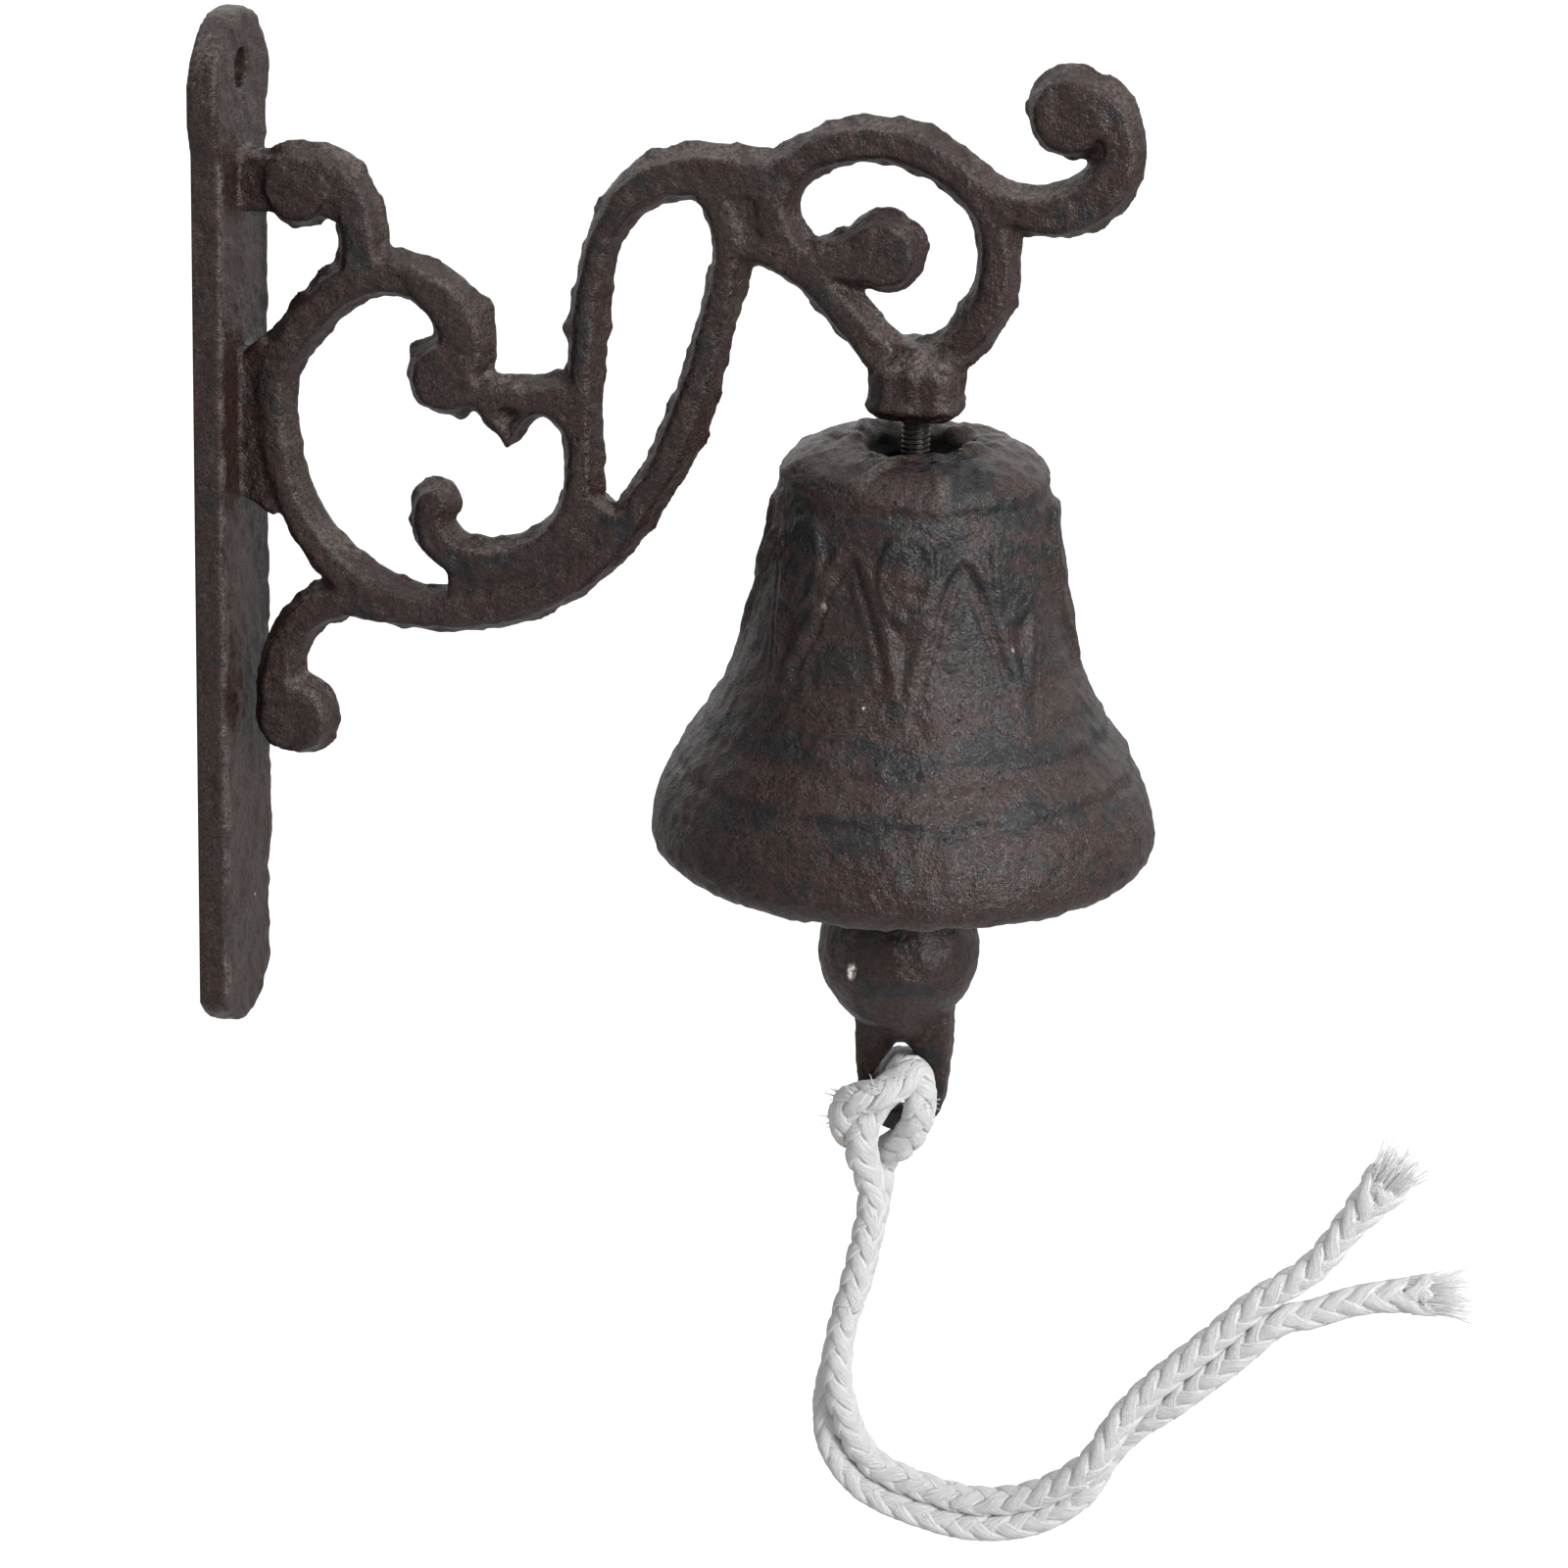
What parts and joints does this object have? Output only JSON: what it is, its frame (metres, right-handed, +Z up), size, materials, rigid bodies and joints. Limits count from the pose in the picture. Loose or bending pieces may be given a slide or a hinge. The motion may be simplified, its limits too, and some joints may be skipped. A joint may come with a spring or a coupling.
{
  "type": "wall mounted bell",
  "caption": "Scrollwork wall bracket carrying a loose flared bell on a threaded bolt, with a ball clapper and a doubled pull cord.",
  "frame": {"origin": "centre of the screw hole on the wall face of the bracket's plate", "axes": "+X out from the wall along the arm, +Z up, Y across the plate"},
  "size_m": [0.2551, 0.1004, 0.311],
  "materials": {
    "bracket_iron": "dark brown sand-cast iron with blue-black worn patches",
    "bell_iron": "dark brown sand-cast iron, satin on the raised grain",
    "clapper_iron": "darker brown sand-cast iron",
    "bolt_steel": "dull dark steel",
    "cotton_cord": "off-white braided cotton"
  },
  "bodies": {
    "bracket": {"wall_bracket": "bracket_iron", "eye_bolt": "bolt_steel", "support_nut": "bolt_steel"},
    "seat": {"seat_washer": "bolt_steel"},
    "bell_shell": {"bell": "bell_iron"},
    "link": {"clapper_link": "bolt_steel"},
    "clapper_body": {"clapper": "clapper_iron", "cord_hitch": "cotton_cord"},
    "cord_upper_run": {"cord_upper": "cotton_cord"},
    "cord_bight": {"cord_middle": "cotton_cord"},
    "cord_tails": {"cord_end": "cotton_cord"}
  },
  "joints": [
    {"name": "bell_tilt", "type": "hinge", "parent": "bracket", "child": "seat", "pos_m": [0.1425, 0, -0.0648], "axis": [0, 1, 0], "range_deg": [-15, 15]},
    {"name": "bell_spin", "type": "hinge", "parent": "seat", "child": "bell_shell", "pos_m": [0.1425, 0, -0.0648], "axis": [0, 0, 1], "continuous": true},
    {"name": "link_swing", "type": "hinge", "parent": "bracket", "child": "link", "pos_m": [0.1425, 0, -0.09345], "axis": [0, 1, 0], "range_deg": [-24, 24]},
    {"name": "clapper_swing", "type": "hinge", "parent": "link", "child": "clapper_body", "pos_m": [0.1425, 0, -0.11095], "axis": [1, 0, 0], "range_deg": [-12, 12]},
    {"name": "cord_swing", "type": "hinge", "parent": "clapper_body", "child": "cord_upper_run", "pos_m": [0.1395, 0, -0.217], "axis": [0, 1, 0], "range_deg": [-12, 35]},
    {"name": "cord_bend_upper", "type": "hinge", "parent": "cord_upper_run", "child": "cord_bight", "pos_m": [0.1321, 0, -0.2705], "axis": [0, 1, 0], "range_deg": [-10, 20]},
    {"name": "cord_bend_lower", "type": "hinge", "parent": "cord_bight", "child": "cord_tails", "pos_m": [0.1808, 0, -0.2868], "axis": [0, 1, 0], "range_deg": [-10, 20]}
  ]
}
